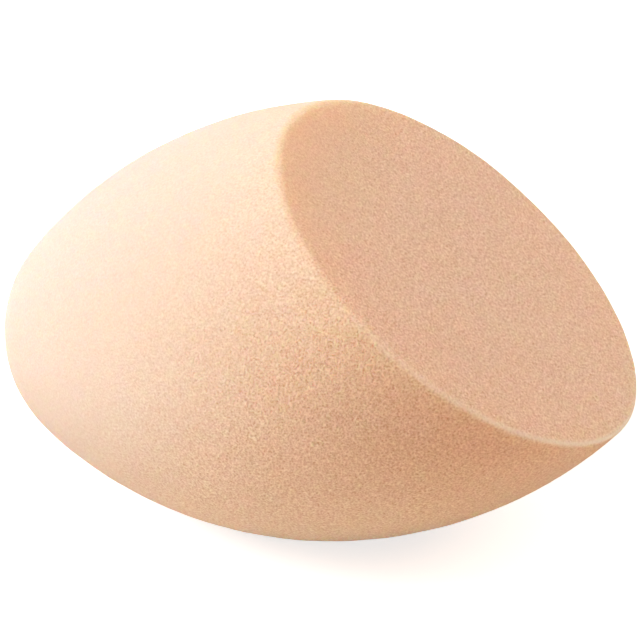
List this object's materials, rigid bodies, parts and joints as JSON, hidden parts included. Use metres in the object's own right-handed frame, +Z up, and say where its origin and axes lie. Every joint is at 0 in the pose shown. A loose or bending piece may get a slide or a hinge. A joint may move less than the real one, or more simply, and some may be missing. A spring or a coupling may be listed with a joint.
{
  "type": "makeup sponge",
  "caption": "Foam makeup sponge: an egg with a round nose and one large slanted flat, lying on its belly.",
  "frame": {"origin": "middle of the small flat patch that the sponge lies on, under its centre of mass", "axes": "+Z up, the long axis in the XZ plane with the round nose towards -X and the slanted flat towards +X and up; the XZ plane is the mirror plane"},
  "size_m": [0.0617, 0.042, 0.0414],
  "materials": {
    "foam": "matte"
  },
  "bodies": {
    "root": {"sponge_body": "foam"}
  },
  "joints": []
}
